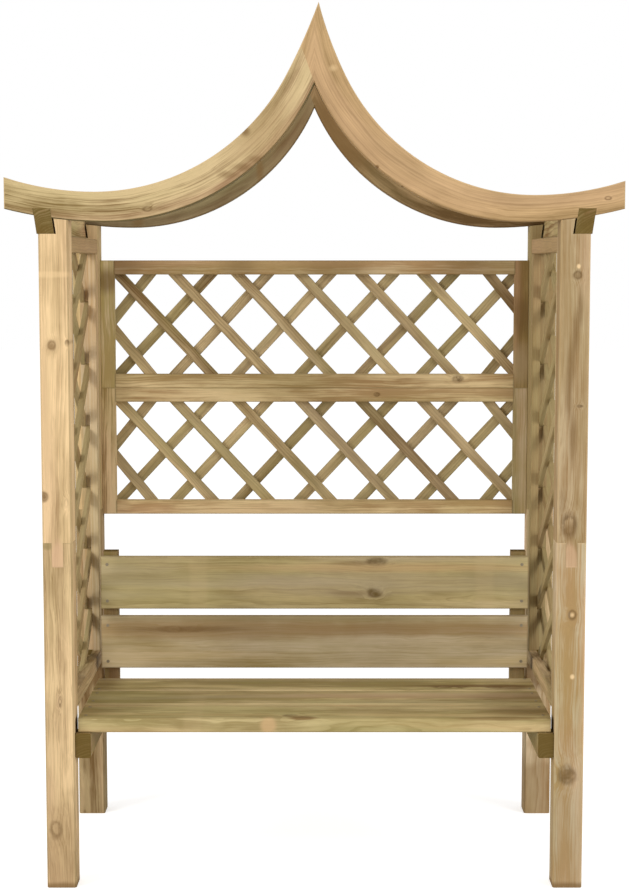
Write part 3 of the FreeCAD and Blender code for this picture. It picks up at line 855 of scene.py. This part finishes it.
class ARBOUR_OT_trellis(bpy.types.Operator):
    """Finishes the frames and the laths of the trellis panels"""
    bl_idname = "arbour.trellis"
    bl_label = "Finish Trellis"

    def execute(self, context):
        seed = TRELLIS_SEED
        for name, look in BACK_FRAMES.items():
            seed += 1
            grain = ALONG_X if name.endswith("rail") else ALONG_Z
            dress("back_trellis_" + name, grain=grain, seed=seed, heart=FRAME_HEART, contrast=0.6,
                  green=0.25, **look)
        for level in ("lower", "upper"):
            for layer, turn in (("front", -BACK_SLOPE), ("rear", BACK_SLOPE)):
                seed += 1
                shift = math.copysign(BACK_SHIFT, turn)
                dress(f"back_trellis_{level}_laths_{layer}", grain=(0.0, turn, 0.0), seed=seed,
                      strips=(BACK_PITCH, seed + shift), **BACK_LATHS)
        for side, sign in SIDES.items():
            for member, look in SIDE_FRAMES.items():
                seed += 1
                grain = ALONG_Y if member.endswith("rail") else ALONG_Z
                if member == "rear_stile":
                    look = dict(look, **REAR_STILES[side])
                dress(f"side_trellis_{side}_{member}", grain=grain, seed=seed,
                      heart=FRAME_HEART, **look)
            for layer, turn in (("inner", SIDE_SLOPE * sign), ("outer", -SIDE_SLOPE * sign)):
                seed += 1
                dress(f"side_trellis_{side}_laths_{layer}", grain=(turn, 0.0, -math.pi / 2),
                      seed=seed, strips=(SIDE_PITCH, seed + SIDE_SHIFT), **SIDE_LATHS)
        return {"FINISHED"}


class ARBOUR_OT_bench(bpy.types.Operator):
    """Finishes the seat, its bearers and the backrest"""
    bl_idname = "arbour.bench"
    bl_label = "Finish Bench"

    def execute(self, context):
        for name, look in BOARDS.items():
            dress(name, grain=ALONG_X, **look)
        for side, sign in SIDES.items():
            dress("seat_bearer_" + side, grain=ALONG_Y, seed=BEARER_SEED + sign, lift=1.2, **BEARER)
            dress("backrest_batten_" + side, grain=ALONG_Z, seed=BATTEN_SEED + sign, **BEARER)
        return {"FINISHED"}


def screw_material():
    """Dull zinc, which mirrors less than bright metal."""
    material = bpy.data.materials.new("dull_zinc")
    tree = cleared(material)
    zinc = tree.group("zinc", place=tree.node("ShaderNodeTexCoord").outputs["Object"])
    surface = tree.node("ShaderNodeBsdfPrincipled", {
        "Base Color": zinc["Colour"], "Metallic": 0.4, "Roughness": zinc["Roughness"]})
    tree.node("ShaderNodeOutputMaterial", {0: surface.outputs[0]})
    return material


def new_object(name, data):
    """An object with that data, in the scene."""
    made = bpy.data.objects.new(name, data)
    bpy.context.scene.collection.objects.link(made)
    return made


def as_mesh(name, shape):
    """A mesh with the shape that bmesh holds."""
    mesh = bpy.data.meshes.new(name)
    shape.to_mesh(mesh)
    shape.free()
    return mesh


def add_walls(shape, ring, depth):
    """Draws walls down from a ring of vertices, and returns the ring at their foot."""
    foot = [shape.verts.new(vertex.co - Vector((0.0, 0.0, depth))) for vertex in ring]
    for index in range(len(ring)):
        shape.faces.new((ring[index - 1], ring[index], foot[index], foot[index - 1]))
    return foot


def screw_head():
    """A screw head that looks up Z: a disc, half sunk into the timber, with a cross recess."""
    sizes = bpy.context.scene.arbour_screws
    head = bmesh.new()
    bmesh.ops.create_circle(head, segments=HEAD_SIDES, radius=sizes.head_radius)
    rim, rim_edges = head.verts[:], head.edges[:]
    arm, half = sizes.recess_arm, sizes.recess_half
    corners = ((arm, -half), (arm, half), (half, half), (half, arm), (-half, arm), (-half, half),
               (-arm, half), (-arm, -half), (-half, -half), (-half, -arm), (half, -arm),
               (half, -half))
    cross = [head.verts.new((x, y, 0.0)) for x, y in corners]
    cross_edges = [head.edges.new((cross[index - 1], cross[index])) for index in range(len(cross))]
    top = bmesh.ops.triangle_fill(head, edges=rim_edges + cross_edges, use_beauty=True)["geom"]
    for face in top:
        if isinstance(face, bmesh.types.BMFace) and face.normal.z < 0:
            face.normal_flip()
    bmesh.ops.translate(head, verts=head.verts[:], vec=(0.0, 0.0, sizes.head_rise))
    head.faces.new(add_walls(head, cross, sizes.recess_depth))
    add_walls(head, rim, 2 * sizes.head_rise)
    bmesh.ops.recalc_face_normals(head, faces=head.faces[:])
    return as_mesh("screw_head", head)


def screws(name, places, outwards):
    """One object with a screw head at each place, all turned to look the same way."""
    head = screw_head()
    gathered = bmesh.new()
    turn = Vector(outwards).to_track_quat("Z", "Y").to_matrix().to_4x4()
    for index, place in enumerate(places):
        before = len(gathered.verts)
        gathered.from_mesh(head)
        gathered.verts.ensure_lookup_table()
        spin = Matrix.Rotation(index * SCREW_SPIN, 4, "Z")
        bmesh.ops.transform(gathered, matrix=Matrix.Translation(place) @ turn @ spin,
                            verts=gathered.verts[before:])
    mesh = as_mesh(name, gathered)
    bpy.data.meshes.remove(head)
    mesh.materials.append(bpy.data.materials.get("dull_zinc") or screw_material())
    made = new_object(name, mesh)
    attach(made, "root")


class ARBOUR_OT_screws(bpy.types.Operator):
    """Adds the heads of the screws"""
    bl_idname = "arbour.screws"
    bl_label = "Add Screws"

    def execute(self, context):
        for name, (outwards, right) in SCREWS.items():
            places = [(sign * x, y, z) for sign in SIDES.values() for x, y, z in right]
            screws(name, places, outwards)
        return {"FINISHED"}


def lamp(name, sign, power):
    """A softbox on the side that the sign stands for, turned to the arbour."""
    data = bpy.data.lights.new(name, "AREA")
    data.shape = "SQUARE"
    data.size = LAMP_SIZE
    data.energy = power
    x, y, z = LAMP_PLACE
    place = Vector((sign * x, y, z))
    made = new_object(name, data)
    made.location = place
    made.rotation_euler = (Vector(LAMP_TARGET) - place).to_track_quat("-Z", "Y").to_euler()


def background_colour(tree, lit, shown):
    """A shader that lights the object as one, and is seen by the camera as the other."""
    path = tree.node("ShaderNodeLightPath").outputs
    seen = tree.math("MAXIMUM", path["Is Camera Ray"], path["Is Glossy Ray"])
    seen = tree.math("MAXIMUM", seen, path["Is Transmission Ray"])
    return tree.node("ShaderNodeMixShader", {0: seen, 1: lit, 2: shown}).outputs[0]


def add_camera(stage):
    """The camera, in front of the arbour, looking a little down."""
    data = bpy.data.cameras.new("camera")
    data.sensor_width = SENSOR_WIDTH
    data.lens = LENS
    data.shift_y = LENS_SHIFT
    camera = new_object("camera", data)
    camera.location = (0.0, -stage.camera_distance, stage.camera_height)
    camera.rotation_euler = (math.pi / 2 - stage.camera_pitch, 0.0, 0.0)
    bpy.context.scene.camera = camera


def add_floor(stage):
    """A white floor that glows only for the camera."""
    sheet = bmesh.new()
    bmesh.ops.create_grid(sheet, x_segments=1, y_segments=1, size=stage.floor_size / 2)
    floor = new_object("floor", as_mesh("floor", sheet))
    material = bpy.data.materials.new("floor_white")
    tree = cleared(material)
    matt = tree.node("ShaderNodeBsdfDiffuse", {"Color": FLOOR_GREY}).outputs[0]
    glow = tree.node("ShaderNodeEmission", {"Color": WHITE, "Strength": FLOOR_GLOW}).outputs[0]
    lifted = tree.node("ShaderNodeAddShader", {0: matt, 1: glow}).outputs[0]
    tree.node("ShaderNodeOutputMaterial", {0: background_colour(tree, matt, lifted)})
    floor.data.materials.append(material)


def add_even_light(stage):
    """A world that lights evenly and is white behind the arbour."""
    world = bpy.data.worlds.new("even_light")
    tree = cleared(world)
    sky = tree.node("ShaderNodeBackground", {"Color": WHITE,
                                             "Strength": stage.sky_strength}).outputs[0]
    white = tree.node("ShaderNodeBackground", {"Color": WHITE}).outputs[0]
    tree.node("ShaderNodeOutputWorld", {0: background_colour(tree, sky, white)})
    bpy.context.scene.world = world


class ARBOUR_OT_stage(bpy.types.Operator):
    """Adds the camera, the floor, the lamps and the even light"""
    bl_idname = "arbour.stage"
    bl_label = "Add Stage"

    def execute(self, context):
        stage = context.scene.arbour_stage
        add_camera(stage)
        add_floor(stage)
        add_even_light(stage)
        lamp("left_softbox", SIDES["left"], stage.left_power)
        lamp("right_softbox", SIDES["right"], stage.right_power)
        context.scene.view_settings.view_transform = "Standard"
        return {"FINISHED"}


class ARBOUR_PT_panel(bpy.types.Panel):
    """Lists the steps and the settings of the arbour seat"""
    bl_idname = "ARBOUR_PT_panel"
    bl_label = "Arbour Seat"
    bl_space_type = "VIEW_3D"
    bl_region_type = "UI"
    bl_category = "Arbour Seat"

    def draw(self, context):
        for group in SETTINGS:
            settings = getattr(context.scene, group)
            box = self.layout.box()
            for name in settings.bl_rna.properties.keys():
                if name not in ("rna_type", "name"):
                    box.prop(settings, name)
        for operator in OPERATORS:
            self.layout.operator(operator.bl_idname)


SETTINGS = {
    "arbour_colours": TimberColours,
    "arbour_grain": GrainSizes,
    "arbour_screws": ScrewSizes,
    "arbour_stage": StageSizes,
}
OPERATORS = (ARBOUR_OT_posts, ARBOUR_OT_roof, ARBOUR_OT_trellis, ARBOUR_OT_bench, ARBOUR_OT_screws,
             ARBOUR_OT_stage)


def register():
    """Adds the settings, the steps and the panel."""
    for name, group in SETTINGS.items():
        bpy.utils.register_class(group)
        setattr(bpy.types.Scene, name, PointerProperty(type=group))
    for operator in OPERATORS:
        bpy.utils.register_class(operator)
    bpy.utils.register_class(ARBOUR_PT_panel)


def unregister():
    """Takes them away again."""
    bpy.utils.unregister_class(ARBOUR_PT_panel)
    for operator in reversed(OPERATORS):
        bpy.utils.unregister_class(operator)
    for name, group in reversed(SETTINGS.items()):
        delattr(bpy.types.Scene, name)
        bpy.utils.unregister_class(group)


def main():
    """Registers the add-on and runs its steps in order."""
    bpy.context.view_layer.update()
    register()
    bpy.ops.arbour.posts()
    bpy.ops.arbour.roof()
    bpy.ops.arbour.trellis()
    bpy.ops.arbour.bench()
    bpy.ops.arbour.screws()
    bpy.ops.arbour.stage()


if __name__ == "__main__":
    main()
